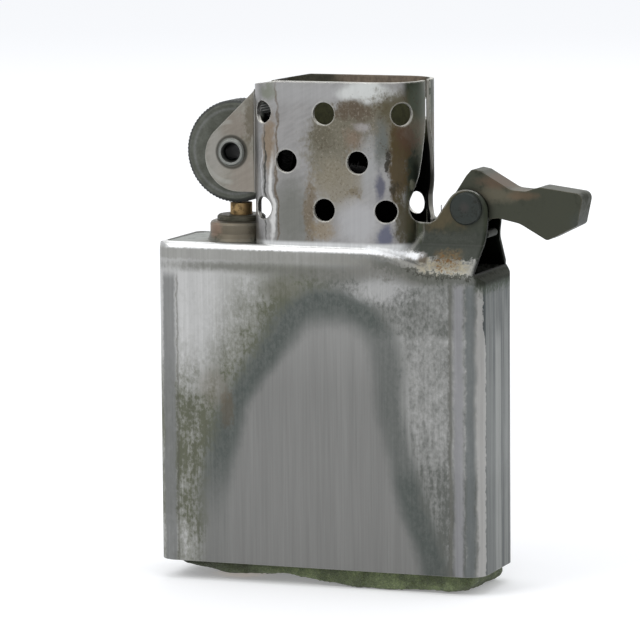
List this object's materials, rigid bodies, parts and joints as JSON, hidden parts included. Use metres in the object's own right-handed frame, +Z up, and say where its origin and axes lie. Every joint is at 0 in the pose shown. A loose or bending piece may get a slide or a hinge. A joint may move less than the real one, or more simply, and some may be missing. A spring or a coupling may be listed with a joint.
{
  "type": "windproof lighter inside unit",
  "caption": "Inside unit of a petrol windproof lighter: sheet case, perforated chimney, flint wheel, sprung cam lever, wick and felt base.",
  "frame": {"origin": "centre of the case's plan, on the underside of the felt that the unit stands on", "axes": "+Z up through the chimney, +X towards the cam lever, +Y from the front face to the back face"},
  "size_m": [0.0458, 0.0114, 0.053],
  "materials": {
    "shell": "satin, upright grain, heat stains",
    "plate": "satin, dull",
    "tube": "dull",
    "bright": "polished",
    "dark": "dark, worn",
    "spring": "satin",
    "wheel": "dark, smooth",
    "cam": "dark, worn",
    "flint": "dull",
    "brass": "satin",
    "wick": "woven, scorched at the end",
    "packing": "loose fibres",
    "felt": "felted fibres"
  },
  "bodies": {
    "case": {"case_shell": "shell", "top_plate": "plate", "flint_tube": "tube", "wheel_rivet": "bright", "cam_rivet": "dark", "cam_spring": "spring", "spring_rivet": "tube", "wick": "wick", "packing_1": "packing", "packing_2": "packing", "packing_3": "packing", "packing_4": "packing", "packing_5": "packing", "packing_6": "packing", "felt_pad": "felt"},
    "wheel": {"flint_wheel": "wheel"},
    "cam": {"cam_lever": "cam"},
    "feed": {"flint": "flint", "spring_tip": "brass"},
    "screw": {"flint_screw": "brass", "flint_spring": "spring"},
    "flap": {"felt_flap": "felt"}
  },
  "joints": [
    {"name": "wheel_spin", "type": "hinge", "parent": "case", "child": "wheel", "pos_m": [-0.0104, 0, 0.0452], "axis": [0, 1, 0], "continuous": true},
    {"name": "cam_flip", "type": "hinge", "parent": "case", "child": "cam", "pos_m": [0.0155, 0, 0.04], "axis": [0, -1, 0], "range_deg": [0, 80]},
    {"name": "flint_feed", "type": "slide", "parent": "case", "child": "feed", "axis": [0, 0, 1], "range_m": [-0.0015, 0], "stiffness_N_per_m": 10, "springref_m": 0.005, "deforming": ["flint_spring"]},
    {"name": "screw_out", "type": "slide", "parent": "case", "child": "screw", "axis": [0, 0, -1], "range_m": [0, 0.009]},
    {"name": "felt_lift", "type": "hinge", "parent": "case", "child": "flap", "pos_m": [0.0015, 0, 0], "axis": [0, 1, 0], "range_deg": [0, 110]}
  ]
}
